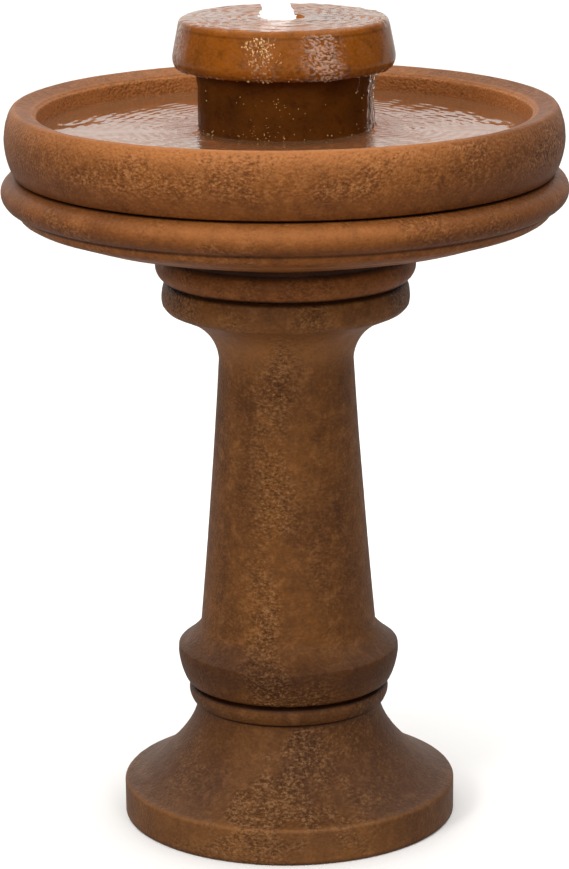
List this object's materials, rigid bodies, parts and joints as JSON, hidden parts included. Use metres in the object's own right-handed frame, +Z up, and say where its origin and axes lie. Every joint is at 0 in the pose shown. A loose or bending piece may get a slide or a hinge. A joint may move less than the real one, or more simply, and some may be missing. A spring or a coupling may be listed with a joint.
{
  "type": "pedestal water fountain",
  "caption": "Round garden fountain: a turned pedestal carries a wide bowl, and a drum-topped cap standing in the bowl hides the pump that wells water out of its top.",
  "frame": {"origin": "centre of the base's underside, on the ground", "axes": "+Z up along the axis that the castings are turned about; -Y is the front, where the pump's strainer faces; +Y is the back, where the cord leaves the base"},
  "size_m": [0.66, 0.66, 0.963],
  "materials": {
    "cast_stone": "matte",
    "black_rubber": "matte",
    "copper": "satin",
    "brass": "satin",
    "stainless_steel": "satin",
    "clear_vinyl": "satin",
    "black_plastic": "satin",
    "white_plastic": "satin",
    "ferrite": "matte",
    "ceramic": "satin",
    "lamination_steel": "satin",
    "copper_winding": "gloss",
    "potting_resin": "gloss"
  },
  "bodies": {
    "base": {"pedestal_base": "cast_stone", "pedestal_column": "cast_stone", "base_shim_1": "black_rubber", "base_shim_2": "black_rubber", "base_shim_3": "black_rubber", "bowl_shim_1": "black_rubber", "bowl_shim_2": "black_rubber", "bowl_shim_3": "black_rubber"},
    "bowl": {"bowl": "cast_stone", "cap_pad_1": "black_rubber", "cap_pad_2": "black_rubber", "cap_pad_3": "black_rubber", "cap_pad_4": "black_rubber", "ceramic_shaft": "ceramic", "cord_gland": "black_plastic", "drain_stopper": "black_rubber", "front_shaft_bush": "black_rubber", "hose_adapter": "black_plastic", "hose_clamp_band": "stainless_steel", "hose_clamp_screw": "stainless_steel", "motor_housing": "black_plastic", "potting_resin": "potting_resin", "rear_shaft_bush": "black_rubber", "stator_coil": "copper_winding", "stator_core": "lamination_steel", "strainer_cover": "black_plastic", "suction_foot_1": "black_rubber", "suction_foot_2": "black_rubber", "suction_foot_3": "black_rubber", "suction_foot_4": "black_rubber", "supply_hose": "clear_vinyl", "volute_cover": "black_plastic", "volute_seal": "black_rubber"},
    "cap": {"fountain_cap": "cast_stone", "nozzle_pipe": "copper", "nozzle_grommet": "black_rubber", "nozzle_locknut": "brass"},
    "rotor": {"rotor_magnet": "ferrite", "impeller": "white_plastic"},
    "dial": {"flow_dial": "black_plastic"}
  },
  "joints": [
    {"name": "bowl_lift", "type": "slide", "parent": "base", "child": "bowl", "axis": [0, 0, 1], "range_m": [0, 0.12]},
    {"name": "cap_lift", "type": "slide", "parent": "bowl", "child": "cap", "axis": [0, 0, 1], "range_m": [0, 0.22]},
    {"name": "impeller_spin", "type": "hinge", "parent": "bowl", "child": "rotor", "pos_m": [0, 0.012, 0.779], "axis": [0, 1, 0], "continuous": true},
    {"name": "dial_turn", "type": "hinge", "parent": "bowl", "child": "dial", "pos_m": [0, -0.0316, 0.763], "axis": [0, -1, 0], "range_deg": [0, 90]}
  ]
}
